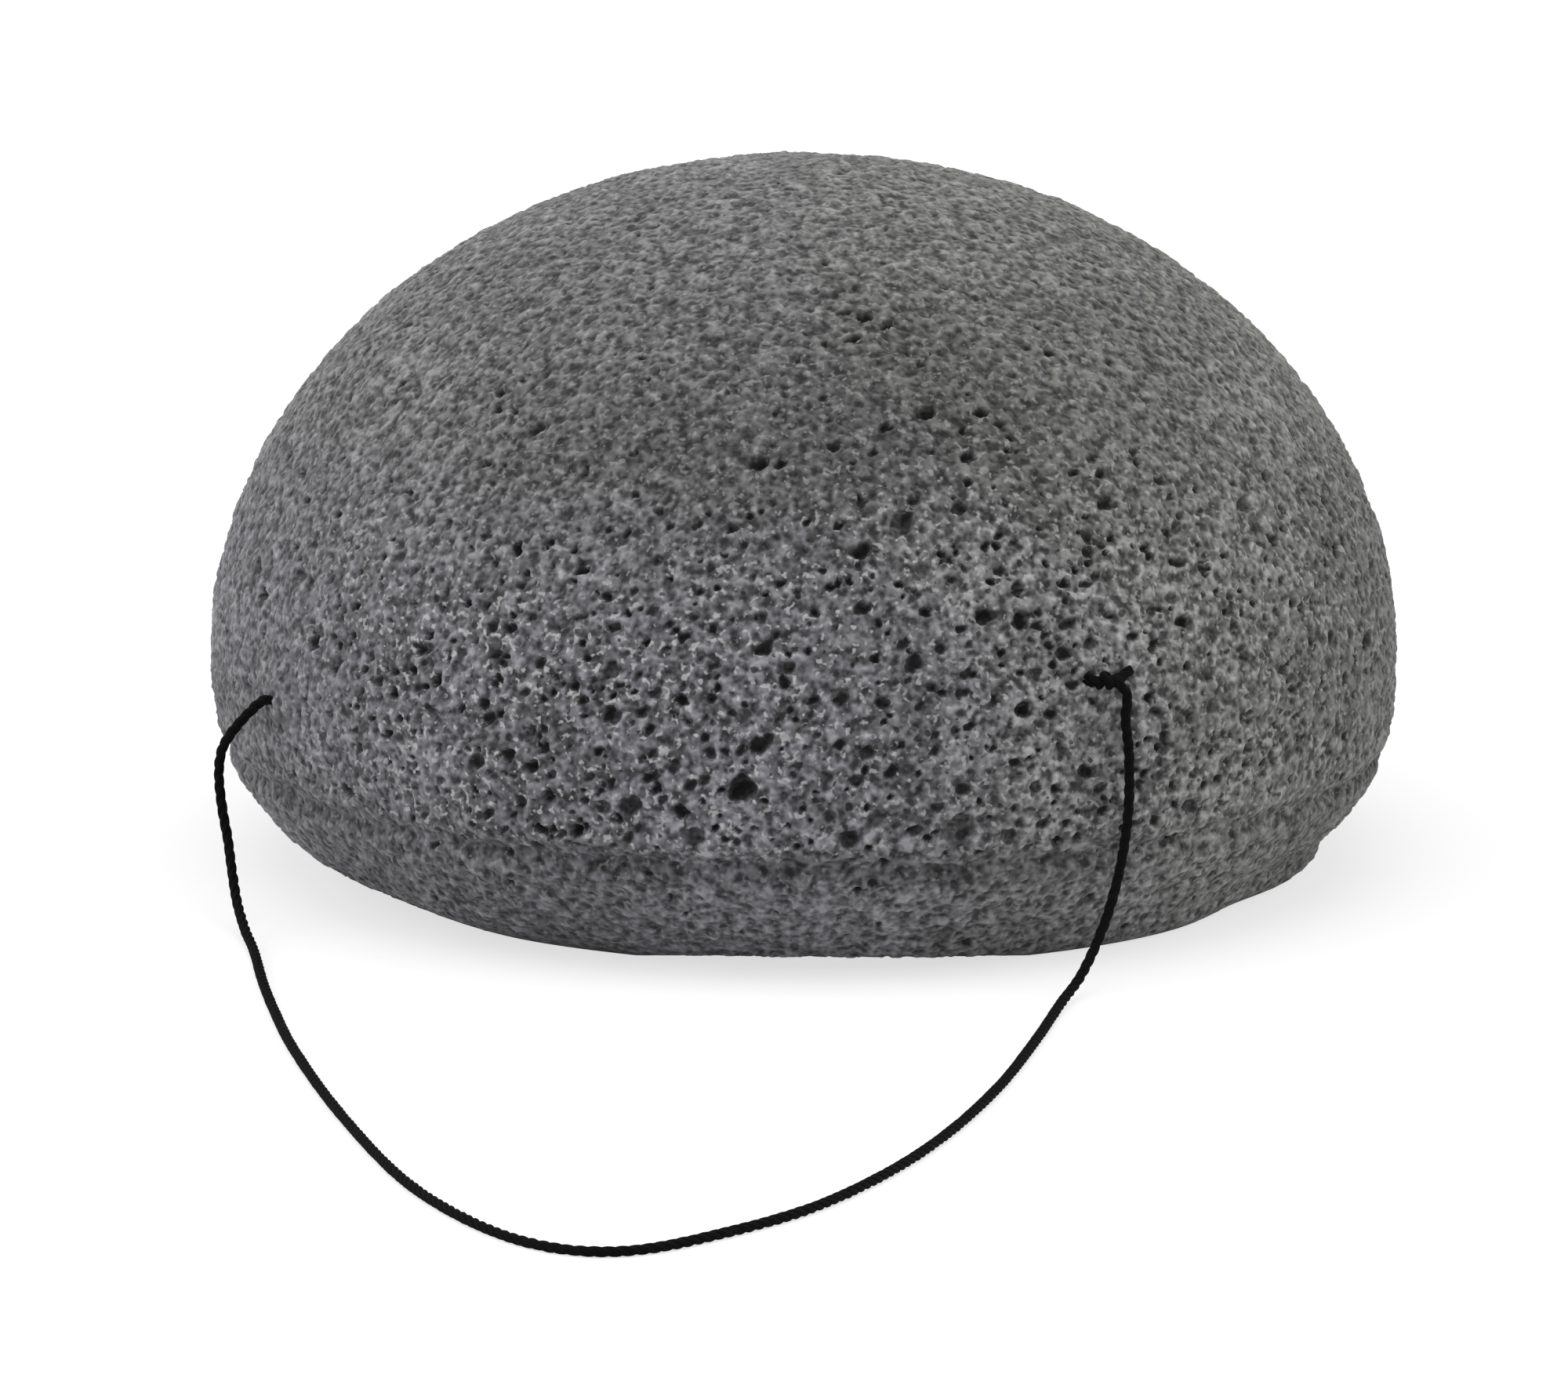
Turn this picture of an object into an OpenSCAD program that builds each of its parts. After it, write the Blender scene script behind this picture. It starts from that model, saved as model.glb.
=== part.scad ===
// A half-ball konjac sponge with a hanging loop of cotton string.
// Millimetres, +Z up. The origin is the middle of the flat base.
// The string runs through one straight channel in the foam, is knotted at the right mouth,
// and its free loop lies on the surface that the sponge stands on, in front of it (-Y).

/* [Sponge] */
// Widest diameter of the foam
sponge_d = 80; // [64:1:100]
// Height of the widest ring above the base
waist_z = 14.2; // [12:0.1:18]
// Height of the dome above the widest ring
dome_h = 33.3; // [25:0.1:42]
// Roundness of the dome, where 2 is an ellipse and more is fuller
dome_power = 1.95; // [1.7:0.05:2.3]
// Height of the mould crease above the base
crease_z = 8.4; // [7:0.1:10]
// How far the foam draws in from the widest ring to the crease
crease_inset = 0.9; // [0.4:0.1:2.5]
// Depth of the crease
crease_depth = 0.6; // [0.2:0.1:1.2]
// Half of the width of the crease
crease_half_w = 0.7; // [0.4:0.1:1.2]
// How far the flat base lies inside the crease
base_inset = 8; // [5:0.1:12]
// Roundness of the lip under the crease, where 1 is a straight slope
lip_power = 1.3; // [1.1:0.05:2.2]

/* [String] */
// Diameter of the string
string_d = 0.7; // [0.5:0.05:1.2]
// Running clearance round the string in its channel
channel_clearance = 0.05; // [0.02:0.01:0.1]
// Bearing of the left mouth of the channel, degrees from +X
left_bearing = 209; // [203:1:215]
// Height of the left mouth
left_z = 15.2; // [12:0.1:22]
// Bearing of the right mouth of the channel
right_bearing = 298; // [293:1:303]
// Height of the right mouth
right_z = 20; // [14:0.1:26]
// How far the threaded string stands out of the left mouth
left_lead = 0.6; // [0.5:0.1:1.5]
// Radius of the bend where the loop turns down at the knot
knot_bend_r = 1.2; // [1:0.1:2]

/* [Knot] */
// Diameter across the turns of the knot
knot_d = 1.5; // [1.5:0.1:2.6]
// How far the knot stands out of the right mouth, along the channel
knot_out = 1; // [0.6:0.1:2]
// How far the knot is pulled into the foam, along the channel
knot_sunk = 0.4; // [0.2:0.1:1.5]
// Number of turns of the knot
knot_turns = 2; // [1:1:3]
// Length of the cut end that points right, from the middle of the mouth
right_tail_l = 2.5; // [1.5:0.1:5]
// Length of the cut end that points left, from the middle of the mouth
left_tail_l = 0.7; // [0.6:0.1:3]

/* [Hidden] */

// The free loop, from the left mouth round to the knot. The route is chosen by hand.
LOOP_ROUTE = [
    [-36.22, -19, 14.85], [-36.85, -18.8, 14.2], [-37.5, -18.6, 13.45], [-38.15, -18.3, 12.55],
    [-38.7, -17.9, 11.4], [-38.9, -17.6, 9.7], [-38.7, -17.8, 7.5], [-38.3, -18.6, 5.5],
    [-38, -20, 3.7], [-37.6, -22, 2], [-37, -25, 0.9], [-36.3, -29, 0.45],
    [-35.5, -37, 0.36], [-34.5, -45, 0.36], [-33, -55, 0.36], [-30, -70, 0.36],
    [-26, -86, 0.36], [-22.5, -95.5, 0.36], [-18.5, -102.5, 0.36],
    [-14.5, -105.8, 0.36], [-10.5, -105.8, 0.36], [-6, -102.5, 0.36], [0, -96, 0.36],
    [5, -87, 0.36], [8.9, -77, 0.36], [12.3, -65, 0.36], [14.8, -53, 0.36],
    [16.6, -43.5, 0.5], [18.1, -39.5, 1.6], [19.6, -37.3, 4.5], [20.6, -36.3, 8],
    [21.1, -35.7, 11.5], [21.15, -35.4, 15], [20.9, -35.5, 17.6]
];
// Each stretch of the route is drawn in this many steps
ROUTE_STEPS = 2;
// Steps of the bend at the knot
BEND_STEPS = 3;
// Sides of the string's tube
STRING_SIDES = 8;
// Points on each curve of the sponge's profile
PROFILE_STEPS = 36;
// Spare length of a cutter past the faces that it cuts
overrun = 5;
// Fineness of round pieces
$fn = 48;

waist_r = sponge_d / 2;
crease_r = waist_r - crease_inset;
base_r = crease_r - base_inset;
channel_r = string_d / 2 + channel_clearance;
// The knot's turns fill the ring between the string's channel and the knot's outside
turn_r = (knot_d / 2 - channel_r) / 2;

// Radius of the dome, from the widest ring up
function dome_r(z) = waist_r * pow(1 - pow((z - waist_z) / dome_h, 2), 1 / dome_power);
// Radius of the side between the crease and the widest ring
function side_r(z) = waist_r - crease_inset * pow((waist_z - z) / (waist_z - crease_z), 2);
// Radius of the lip between the flat base and the crease
function lip_r(z) =
    base_r + base_inset * pow(1 - pow((crease_z - z) / crease_z, lip_power), 1 / lip_power);
// Radius of the foam without its crease
function smooth_r(z) = z > waist_z ? dome_r(z) : z > crease_z ? side_r(z) : lip_r(z);
// Radius of the foam at a height
function foam_r(z) = smooth_r(z) - crease_depth * exp(-pow((z - crease_z) / crease_half_w, 2));

// The middle of each mouth, on the foam's surface
function mouth(bearing, z) = [foam_r(z) * cos(bearing), foam_r(z) * sin(bearing), z];
left_mouth = mouth(left_bearing, left_z);
right_mouth = mouth(right_bearing, right_z);
function unit(v) = v / norm(v);
channel_dir = unit(right_mouth - left_mouth);
channel_l = norm(right_mouth - left_mouth);

// Moves a child that stands on +Z to a point, along a direction
module along(point, direction) {
    translate(point)
        rotate([0, acos(direction[2]), atan2(direction[1], direction[0])])
            children();
}

// The moulded foam body, with the straight channel for the string
module sponge() {
    lip = [for (i = [0:PROFILE_STEPS]) let (z = crease_z * (1 - cos(90 * i / PROFILE_STEPS)))
        [foam_r(z), z]];
    side = [for (i = [1:PROFILE_STEPS]) let (z = crease_z + (waist_z - crease_z) * i / PROFILE_STEPS)
        [foam_r(z), z]];
    dome = [for (i = [1:PROFILE_STEPS - 1]) let (z = waist_z + dome_h * sin(90 * i / PROFILE_STEPS))
        [foam_r(z), z]];
    color("dimgray")
        difference() {
            rotate_extrude()
                polygon(concat([[0, 0]], lip, side, dome, [[0, waist_z + dome_h]]));
            along(left_mouth - channel_dir * overrun, channel_dir)
                cylinder(h = channel_l + 2 * overrun, r = channel_r);
        }
}

// The string inside the foam, from the left mouth to the outer face of the knot
module threaded_string() {
    color("black")
        along(left_mouth - channel_dir * left_lead, channel_dir)
            cylinder(h = left_lead + channel_l + knot_out, d = string_d);
}

// The knot: turns round the string, pressed into the mouth, with its two cut ends on the foam
module knot() {
    knot_l = knot_sunk + knot_out;
    turn_pitch = knot_l / knot_turns;
    color("black")
        difference() {
            union() {
                for (i = [0:knot_turns - 1])
                    along(right_mouth + channel_dir * ((i + 1 / 2) * turn_pitch - knot_sunk), channel_dir)
                        rotate_extrude()
                            translate([knot_d / 2 - turn_r, 0])
                                circle(turn_r);
                along(right_mouth - channel_dir * knot_sunk, channel_dir)
                    cylinder(h = knot_l, r = knot_d / 2 - turn_r);
                cut_end(right_tail_l, 1);
                cut_end(left_tail_l, -1);
            }
            along(right_mouth - channel_dir * overrun, channel_dir)
                cylinder(h = 2 * overrun, r = channel_r);
        }
}

// A cut end of the string, half sunk in the foam beside the mouth
module cut_end(length, side) {
    rotate([0, 0, right_bearing])
        translate([foam_r(right_z), 0, right_z + string_d / 2])
            rotate([-90 * side, 0, 0]) {
                cylinder(h = length, d = string_d);
                translate([0, 0, length])
                    sphere(d = string_d);
            }
}

// A point on a smooth curve through four neighbouring points of a route
function curve_point(a, b, c, d, t) =
    (2 * b + (c - a) * t + (2 * a - 5 * b + 4 * c - d) * t * t + (3 * b - a - 3 * c + d) * t * t * t) / 2;

// All points of the smooth curve through a route
function smooth_route(route, steps) = let (last = len(route) - 1) concat(
    [for (i = [0:last - 1], j = [0:steps - 1])
        curve_point(route[max(i - 1, 0)], route[i], route[i + 1], route[min(i + 2, last)], j / steps)],
    [route[last]]);

// The direction of a line of points at one of them, square to the ends that it meets
function heading(points, i, first, last) =
    i == 0 ? first : i == len(points) - 1 ? last : unit(points[i + 1] - points[i - 1]);

// One side vector for each ring, carried along without twist
function carried_sides(headings, i, side) = let (
    h = headings[i],
    s = unit(side - h * (side * h))
) i == len(headings) - 1 ? [s] : concat([s], carried_sides(headings, i + 1, s));

// A round tube along points, as one closed solid
module tube(points, first, last, d, sides) {
    headings = [for (i = [0:len(points) - 1]) heading(points, i, first, last)];
    side_vectors = carried_sides(headings, 0, [0, 0, 1]);
    rings = [for (i = [0:len(points) - 1], k = [0:sides - 1]) let (
        s = side_vectors[i],
        u = cross(headings[i], s),
        a = 360 * k / sides
    ) points[i] + (s * cos(a) + u * sin(a)) * d / 2];
    last_ring = (len(points) - 1) * sides;
    walls = [for (i = [0:len(points) - 2], k = [0:sides - 1]) let (
        k2 = (k + 1) % sides,
        near = i * sides,
        far = near + sides
    ) each [[near + k, far + k, near + k2], [near + k2, far + k, far + k2]]];
    start_cap = [for (k = [1:sides - 2]) [0, k, k + 1]];
    end_cap = [for (k = [1:sides - 2]) [last_ring, last_ring + k + 1, last_ring + k]];
    polyhedron(rings, concat(walls, start_cap, end_cap));
}

// The free loop, face to face with both ends of the threaded string
module string_loop() {
    left_end = left_mouth - channel_dir * left_lead;
    right_end = right_mouth + channel_dir * knot_out;
    ends_run = string_d / 2;
    bend_start = right_end + channel_dir * ends_run;
    down = unit([0, 0, -1] + channel_dir * channel_dir[2]);
    knot_bend = [for (i = [BEND_STEPS:-1:0]) let (a = 90 * i / BEND_STEPS)
        bend_start + (channel_dir * sin(a) + down * (1 - cos(a))) * knot_bend_r];
    route = concat([left_end, left_end - channel_dir * ends_run], LOOP_ROUTE, knot_bend, [right_end]);
    color("black")
        tube(smooth_route(route, ROUTE_STEPS), -channel_dir, -channel_dir, string_d, STRING_SIDES);
}

sponge();
threaded_string();
string_loop();
knot();
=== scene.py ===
import math

import bpy
import numpy as np
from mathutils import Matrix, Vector
from mathutils.bvhtree import BVHTree


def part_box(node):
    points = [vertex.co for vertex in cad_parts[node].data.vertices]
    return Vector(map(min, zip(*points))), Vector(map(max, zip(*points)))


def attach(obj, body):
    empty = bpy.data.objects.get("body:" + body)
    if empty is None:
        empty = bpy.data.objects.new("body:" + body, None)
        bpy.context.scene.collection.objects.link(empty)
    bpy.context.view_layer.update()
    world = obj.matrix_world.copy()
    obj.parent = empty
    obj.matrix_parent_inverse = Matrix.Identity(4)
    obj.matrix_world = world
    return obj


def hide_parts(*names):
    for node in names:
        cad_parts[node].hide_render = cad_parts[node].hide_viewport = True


bl_info = {
    "name": "Konjac sponge",
    "version": (1, 0, 0),
    "blender": (4, 5, 0),
    "location": "3D View > Sidebar > Sponge",
    "description": "A moulded konjac sponge with its hanging string",
    "category": "Object",
}

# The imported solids, which every piece sits around.
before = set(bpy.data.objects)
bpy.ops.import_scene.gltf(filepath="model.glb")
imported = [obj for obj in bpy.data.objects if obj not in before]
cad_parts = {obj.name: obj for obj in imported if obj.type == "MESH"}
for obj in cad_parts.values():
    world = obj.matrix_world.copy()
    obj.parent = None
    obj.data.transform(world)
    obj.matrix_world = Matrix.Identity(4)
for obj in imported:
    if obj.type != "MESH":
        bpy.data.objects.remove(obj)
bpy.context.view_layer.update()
SPONGE_LOW, SPONGE_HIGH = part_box("sponge")

MM = 0.001
# The picture's pixels, and the camera's sensor in millimetres.
FRAME_WIDTH, FRAME_HEIGHT = 2000, 1780
SENSOR_WIDTH = 36.0
# Height of the widest part of the foam.
WAIST_HEIGHT = 0.0142

# The string's two places in the foam, and the line of the channel between them. The threaded string
# stands out of both mouths a little, where the loop joins it and bends down at the knot.
LEFT_MOUTH = Vector((-0.03497, -0.01938, 0.0152))
RIGHT_MOUTH = Vector((0.01848, -0.03476, 0.0200))
CHANNEL = (RIGHT_MOUTH - LEFT_MOUTH).normalized()
LEFT_LEAD = 0.0006
KNOT_REACH = 0.0010
JOIN_LEAD = 0.00035
KNOT_BEND = 0.0012
KNOT_BEND_ANGLES = (90, 60, 30, 0)

# The radius of the strands and of their twist, as shares of the string's diameter. The knot's cord is
# pulled thin, and its lay is shorter.
STRING_THICKNESS = (0.315, 0.19)
KNOT_THICKNESS = (0.22, 0.13)
CUT_THICKNESS = (0.33, 0.2)
KNOT_LAY = 0.7
# Sides of a strand, and the waves in a metre of its thickness.
STRAND_SIDES, STRAND_WAVES = 10, 900.0
# Steps of each stretch of a route, of the knot's, and of the straight string in the channel.
ROUTE_STEPS, KNOT_ROUTE_STEPS, CHANNEL_STEPS = 6, 3, 60
# The knot's turns: how many there are, from which bearing, in how many steps, and how far along the
# string its heading is read.
KNOT_ROUNDS, KNOT_START, KNOT_STEPS, KNOT_LOOK = 2.3, math.radians(-150), 40, 1e-4
# The line that the turns follow, in millimetres: these steps out of the mouth, then along the points of
# the string's bend that are neither nearer nor further than these.
KNOT_STEP, KNOT_LINE = 0.1, range(3, 11)
KNOT_NEAR, KNOT_FAR = 0.02, 1.1
# How small the turns are at the knot's ends, and how far they lean along the string, in millimetres.
KNOT_TAPER, KNOT_SLANT = 0.35, 0.2
# Where on the swell from thin to full to thin the knot starts, and how much of it the knot takes up.
KNOT_SWELL_START, KNOT_SWELL = 0.02, 0.95
# Where the knot's cord starts, to the left of the mouth's middle and inside it, in millimetres.
KNOT_FIRST = (0.15, 0.2)
# The cut end, in millimetres across, out of and up the foam from the right mouth.
CUT_END = [(0.9, 0.8, 0.1), (1.7, 0.75, 0.1), (2.35, 0.5, 0.25), (2.75, 0.35, 0.42), (2.95, 0.25, 0.5)]

# The way of the hanging loop, in metres, from the left mouth over the floor to the knot.
LOOP_ROUTE = [
    (-0.03622, -0.019, 0.01485), (-0.03685, -0.0188, 0.0142), (-0.0375, -0.0186, 0.01345),
    (-0.03815, -0.0183, 0.01255), (-0.0387, -0.0179, 0.0114), (-0.0389, -0.0176, 0.0097),
    (-0.0387, -0.0178, 0.0075), (-0.0383, -0.0186, 0.0055), (-0.038, -0.02, 0.0037),
    (-0.0376, -0.022, 0.002), (-0.037, -0.025, 0.0009), (-0.0363, -0.029, 0.00045),
    (-0.0355, -0.037, 0.00036), (-0.0345, -0.045, 0.00036), (-0.033, -0.055, 0.00036),
    (-0.03, -0.07, 0.00036), (-0.026, -0.086, 0.00036), (-0.0225, -0.0955, 0.00036),
    (-0.0185, -0.1025, 0.00036), (-0.0145, -0.1058, 0.00036), (-0.0105, -0.1058, 0.00036),
    (-0.006, -0.1025, 0.00036), (0.0, -0.096, 0.00036), (0.005, -0.087, 0.00036),
    (0.0089, -0.077, 0.00036), (0.0123, -0.065, 0.00036), (0.0148, -0.053, 0.00036),
    (0.0166, -0.0435, 0.0005), (0.0181, -0.0395, 0.0016), (0.0196, -0.0373, 0.0045),
    (0.0206, -0.0363, 0.008), (0.0211, -0.0357, 0.0115), (0.02115, -0.0354, 0.015),
    (0.0209, -0.0355, 0.0176),
]

# The pores that stand out on the front: where each one is in the picture, how wide it is there, and
# how deep it goes, from 0 for one still closed by its skin to 1 for an open hole.
PORE_MARKS = [
    (945, 1008, 40, 1.0), (1255, 787, 26, 1.0), (1226, 803, 16, 0.9), (1508, 791, 24, 1.0),
    (1305, 905, 24, 1.0), (1340, 910, 20, 1.0), (1098, 700, 30, 0.9), (1225, 1060, 45, 0.6),
    (1085, 1072, 30, 0.8), (885, 1070, 34, 0.7), (1165, 845, 30, 0.9), (970, 950, 30, 0.9),
    (830, 992, 24, 0.9), (1150, 665, 36, 0.7), (1385, 985, 22, 1.0), (775, 910, 26, 0.9),
    (934, 672, 20, 0.8), (985, 692, 24, 0.4), (1070, 670, 18, 0.9), (1222, 648, 22, 0.9),
    (1165, 640, 18, 0.8), (1152, 820, 14, 0.9), (1199, 829, 18, 0.9), (993, 744, 14, 0.9),
    (1048, 728, 14, 0.9), (1100, 775, 22, 0.9), (1180, 780, 20, 0.9), (1175, 730, 30, 0.4),
    (1256, 700, 16, 0.9), (1272, 683, 18, 0.9), (1274, 728, 16, 0.9), (975, 826, 26, 0.9),
    (935, 825, 24, 0.4), (1005, 850, 22, 0.8), (908, 800, 16, 0.9), (1071, 892, 24, 0.8),
    (1125, 895, 22, 0.8), (1037, 893, 14, 0.9), (1187, 877, 18, 0.8), (1228, 884, 16, 0.8),
    (995, 915, 16, 0.8), (980, 943, 22, 0.8), (1073, 950, 20, 0.9), (1297, 750, 18, 0.7),
    (699, 1015, 20, 0.9), (665, 1025, 18, 0.8), (622, 1038, 20, 0.8), (765, 1012, 14, 0.8),
    (752, 988, 16, 0.8), (779, 998, 14, 0.8), (802, 1030, 34, 0.7), (799, 1070, 20, 0.8),
    (813, 1058, 14, 0.8), (878, 1002, 22, 0.8), (899, 997, 14, 0.8), (846, 1020, 16, 0.8),
    (650, 1086, 14, 0.8), (715, 1065, 16, 0.8), (651, 1126, 14, 0.9), (1105, 960, 24, 0.8),
    (1295, 990, 22, 0.4), (1165, 1060, 20, 0.7), (608, 970, 26, 0.7), (545, 830, 20, 0.8),
    (630, 800, 22, 0.8), (690, 846, 18, 0.8), (410, 830, 24, 0.4), (740, 720, 16, 0.8),
    (1105, 401, 24, 1.0), (1086, 429, 20, 1.0), (966, 590, 26, 0.9), (1181, 527, 26, 0.9),
    (1250, 526, 22, 0.95), (1129, 547, 20, 0.95), (1395, 585, 18, 0.8), (1485, 940, 18, 0.9),
    (1560, 935, 16, 0.8), (589, 904, 14, 0.9), (616, 897, 20, 0.9), (635, 913, 16, 0.95),
    (552, 812, 18, 0.9), (539, 830, 20, 0.9), (484, 868, 22, 0.8), (532, 878, 16, 0.8),
    (740, 726, 22, 0.9), (652, 801, 20, 0.9), (679, 978, 24, 0.9), (782, 914, 26, 0.8),
    (778, 854, 26, 0.7), (834, 779, 20, 0.8), (743, 893, 16, 0.9), (648, 964, 22, 0.9),
    (1358, 832, 24, 0.9), (1356, 744, 20, 0.9), (1386, 708, 16, 0.9), (1323, 799, 16, 0.9),
    (1298, 754, 20, 0.9), (1363, 796, 24, 0.7), (1489, 677, 20, 0.9), (1501, 719, 22, 0.9),
    (1535, 724, 20, 0.9), (1476, 613, 16, 0.8), (1370, 602, 16, 0.9), (1406, 603, 20, 0.8),
    (1411, 643, 24, 0.8), (1478, 990, 20, 0.7), (1387, 862, 14, 0.8), (1338, 910, 20, 0.9),
    (1391, 820, 24, 0.7), (1385, 746, 18, 0.9), (1552, 754, 14, 0.8), (1468, 780, 18, 0.7),
    (1584, 786, 14, 0.8), (1657, 777, 13, 0.8), (1659, 873, 18, 0.7), (1316, 862, 20, 0.6),
    (1368, 873, 18, 0.9), (1265, 893, 13, 0.9), (1230, 859, 14, 0.9), (1202, 886, 18, 0.9),
    (1302, 936, 22, 0.5), (1276, 936, 18, 0.6), (1385, 937, 28, 0.45), (1348, 956, 20, 0.6),
    (1401, 1006, 18, 0.7), (1320, 1000, 16, 0.6), (1296, 971, 16, 0.9), (1312, 967, 13, 0.9),
    (1193, 960, 14, 0.9), (1228, 1008, 22, 0.9), (1196, 1030, 18, 0.8), (1329, 1049, 14, 0.8),
    (1361, 1049, 14, 0.9), (1385, 1033, 18, 0.6), (1286, 1065, 24, 0.7), (1247, 1087, 14, 0.9),
    (1472, 906, 18, 0.6), (1478, 972, 16, 0.6), (1552, 992, 14, 0.8), (1518, 1027, 24, 0.7),
    (1491, 1065, 16, 0.9), (1571, 1062, 14, 0.8), (1531, 1056, 13, 0.8), (1565, 972, 13, 0.8),
    (1593, 910, 14, 0.8), (1638, 912, 13, 0.7), (1492, 764, 16, 0.7), (1414, 786, 14, 0.8),
    (925, 706, 12, 0.9), (909, 722, 14, 0.7), (890, 754, 16, 0.8), (916, 747, 14, 0.8),
    (811, 755, 13, 0.8), (882, 785, 20, 0.5), (1040, 781, 14, 0.9), (872, 813, 18, 0.95),
    (1001, 814, 14, 0.7), (895, 838, 20, 0.6), (911, 850, 16, 0.8), (849, 828, 14, 0.8),
    (836, 880, 22, 0.7), (822, 905, 20, 0.8), (859, 908, 18, 0.5), (880, 924, 14, 0.7),
    (829, 931, 20, 0.9), (899, 940, 18, 0.95), (834, 961, 16, 0.7), (859, 979, 20, 0.7),
    (945, 957, 16, 0.8), (928, 957, 14, 0.6), (1148, 952, 13, 0.8), (1016, 977, 16, 0.8),
    (1093, 994, 22, 0.8), (930, 908, 13, 0.8), (559, 867, 20, 0.9), (679, 931, 18, 0.8),
    (694, 954, 16, 0.95), (654, 1038, 13, 0.8), (744, 1018, 14, 0.8), (765, 959, 18, 0.95),
    (757, 867, 14, 0.8), (749, 838, 14, 0.9), (790, 874, 14, 0.8), (780, 888, 13, 0.95),
    (813, 860, 14, 0.7), (633, 834, 16, 0.8), (670, 864, 16, 0.5), (715, 876, 13, 0.7),
    (516, 851, 14, 0.6), (603, 941, 13, 0.6), (726, 949, 14, 0.6), (644, 1059, 13, 0.8),
    (513, 1082, 16, 0.7), (551, 666, 16, 0.5), (617, 592, 13, 0.8), (510, 695, 14, 0.5),
    (619, 685, 13, 0.8), (673, 688, 13, 0.6), (731, 704, 13, 0.9), (671, 730, 14, 0.9),
    (532, 728, 18, 0.4), (569, 755, 13, 0.8), (606, 752, 14, 0.5), (528, 775, 18, 0.4),
    (606, 816, 16, 0.5), (662, 820, 14, 0.5), (740, 787, 14, 0.7), (782, 798, 22, 0.8),
    (724, 768, 13, 0.5), (840, 650, 16, 0.8), (801, 678, 16, 0.8), (854, 670, 13, 0.8),
    (776, 675, 13, 0.8), (888, 669, 16, 0.8), (747, 600, 13, 0.7), (466, 852, 14, 0.8),
    (433, 848, 14, 0.7), (449, 714, 13, 0.5), (458, 752, 13, 0.5), (1133, 413, 20, 0.95),
    (1077, 395, 18, 0.7), (1175, 463, 18, 0.7), (1272, 538, 18, 0.8), (1055, 536, 18, 0.5),
    (1064, 570, 20, 0.85), (1114, 579, 18, 0.85), (996, 591, 18, 0.8), (1187, 577, 15, 0.7),
    (1159, 577, 14, 0.6), (1003, 503, 15, 0.6), (1214, 427, 15, 0.6), (1067, 376, 15, 0.6),
]

# Hollows, and two swellings, of the lip and the side: bearing, height, spread and depth in millimetres.
DENTS = [(-28, 1.0, 5.5, 1.1), (0, 13.0, 8.0, 0.35), (231, 1.0, 6.0, -0.5), (209, 15.2, 2.2, -0.55)]
# The foam's rough radius at the base, on the lip and at the waist, on which a dent is set.
DENT_HEIGHTS, DENT_RADII = (0, 3 * MM, 14 * MM), (0.032, 0.036, 0.04)
# How far the lip sits to the right of the dome, and the height where this ends, in millimetres.
LIP_LEAN, LIP_LEAN_TOP = 1.8, 3
# Where the base's front edge touches the floor, in millimetres in front of the middle.
FRONT_LINE = 28.3

# Points along the dome, the side, the lip and the base of the foam's outline.
OUTLINE_POINTS = (1500, 300, 500, 400)
# More of the lip's points lie near the crease than near the base.
LIP_CROWDING = 1.5
# The free edge round each of the six squares of the foam's map, as a share of a square.
MAP_MARGIN = 0.004

# The band of pores, in millimetres: where it starts, how high it reaches on the left, how much higher on
# the right, and how its top wavers and fades.
BAND_FOOT = (8.6, 10)
BAND_TOP, BAND_LIFT, BAND_WAVER, BAND_WAVE = 29, 4.5, 1.5, 7
BAND_FADE_BELOW, BAND_FADE_ABOVE = 8, 3
# How thick the band is behind, where the middle of the front is 1, and how thick its edges are there.
BAND_BEHIND, EDGES_BEHIND = 0.65, 0.9

# The painted shade along the crease, in millimetres: how far it lies below the crease, how it wavers and
# how wide it is, and how dark it is on the left, where it is weak.
CREASE_DROP, CREASE_WAVER, CREASE_WAVE, CREASE_WIDTH, CREASE_WEAK = 0.3, 0.25, 3.1, 1.1, 0.35

# The pores by size: their least and most radius as shares of the named one, their least depth, the waves
# of their rims in a metre, and how much these bend the rims.
PORE_SIZES = {"Large": (0.7, 1.25, 0.2, 800.0, 4.5), "Medium": (0.62, 1.3, 0.16, 1400.0, 3.0),
              "Small": (0.55, 1.35, 0.16, 2600.0, 1.5)}
PORE_DEEPEST = 1.15
# Smaller pores leave a wall between them and the larger ones: how near they may come to each larger
# size, in radii, from none at all to all of them.
PORE_WALLS = {"Large": (), "Medium": ((1.4, 1.8),), "Small": ((1.15, 1.4), (1.3, 1.7))}
# Pores of one size lie this many radii apart at least.
PORE_SPACING = 1.7
# How much a pore is squeezed along its lean, and how much wider and deeper its bowl is than its radius.
PORE_SQUEEZE, PORE_WIDER, PORE_DEEPER = 0.5, 1.16, 1.4
# What the seed grows by from one size to the next, for the depths and for the leans.
SIZE_SEED, DEPTH_SEED, LEAN_SEED = 7, 3.0, 5.0
# A marked pore's radius as a share of its width in the picture, and the radius of the right mouth's own
# pore in millimetres.
MARK_SHARE, MOUTH_PORE = 0.46, 0.45

# Swells, ripples and crumbs of the foam in a metre, and the height above the floor where they are full.
LUMPS, RIPPLES, CRUMBS = 34.0, 260.0, 1300.0
SWELL_FREE = 0.0014

# Patches, pits and painted glints of the foam's colour in a metre, and the waves that bend the pits and how
# far.
PATCHES, PITS, GLINTS = 110.0, 1500.0, 2100.0
PIT_WAVES, PIT_BEND = 2500.0, 0.00035
# How much painted shade darkens a pit, and how deep it is, where the foam's fine grain is 1.
PIT_SHADE, PIT_DEPTH = 0.8, 0.5
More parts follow.
